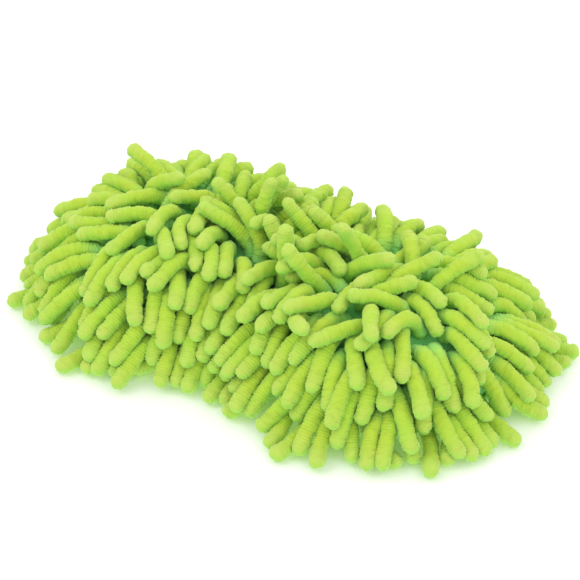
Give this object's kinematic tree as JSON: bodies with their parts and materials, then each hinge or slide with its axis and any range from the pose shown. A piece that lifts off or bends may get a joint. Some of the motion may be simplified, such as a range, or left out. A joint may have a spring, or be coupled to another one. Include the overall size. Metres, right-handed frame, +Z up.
{
  "type": "wash mitt",
  "caption": "Figure-eight foam wash pad covered in soft chenille fingers, with an elastic hand strap across its flat back.",
  "frame": {"origin": "on the ground under the middle of the pad, in the plane of the flat back", "axes": "+X along the pad, through both lobes; +Y across it, along the hand strap; +Z up from the flat back to the crown"},
  "size_m": [0.2678, 0.1692, 0.0674],
  "materials": {
    "chenille": "matte",
    "cover_knit": "matte",
    "foam": "matte",
    "mesh_panel": "matte",
    "binding_tape": "matte",
    "elastic": "matte",
    "thread": "satin"
  },
  "bodies": {
    "pad": {"foam_core": "foam", "cover_cloth": "cover_knit", "underside_panel": "mesh_panel", "seam_binding": "binding_tape", "strap_end_left": "elastic", "strap_end_right": "elastic", "strap_stitches_left": "thread", "strap_stitches_right": "thread", "finger_row_01": "chenille", "finger_row_02": "chenille", "finger_row_03": "chenille", "finger_row_04": "chenille", "finger_row_05": "chenille", "finger_row_06": "chenille", "finger_row_07": "chenille", "finger_row_08": "chenille", "finger_row_09": "chenille", "finger_row_10": "chenille", "finger_row_11": "chenille", "finger_row_12": "chenille", "finger_row_13": "chenille", "finger_row_14": "chenille", "finger_row_15": "chenille", "finger_row_16": "chenille", "finger_row_17": "chenille", "finger_row_18": "chenille", "finger_row_19": "chenille", "finger_row_20": "chenille", "finger_row_21": "chenille", "finger_row_22": "chenille", "finger_row_23": "chenille", "finger_row_24": "chenille", "finger_row_25": "chenille", "finger_row_26": "chenille", "finger_row_27": "chenille", "finger_row_28": "chenille", "finger_row_29": "chenille"},
    "strap": {"strap_band": "elastic"}
  },
  "joints": [
    {"name": "strap_stretch", "type": "slide", "parent": "pad", "child": "strap", "axis": [0, 0, -1], "range_m": [0, 0.03], "stiffness_N_per_m": 150}
  ]
}
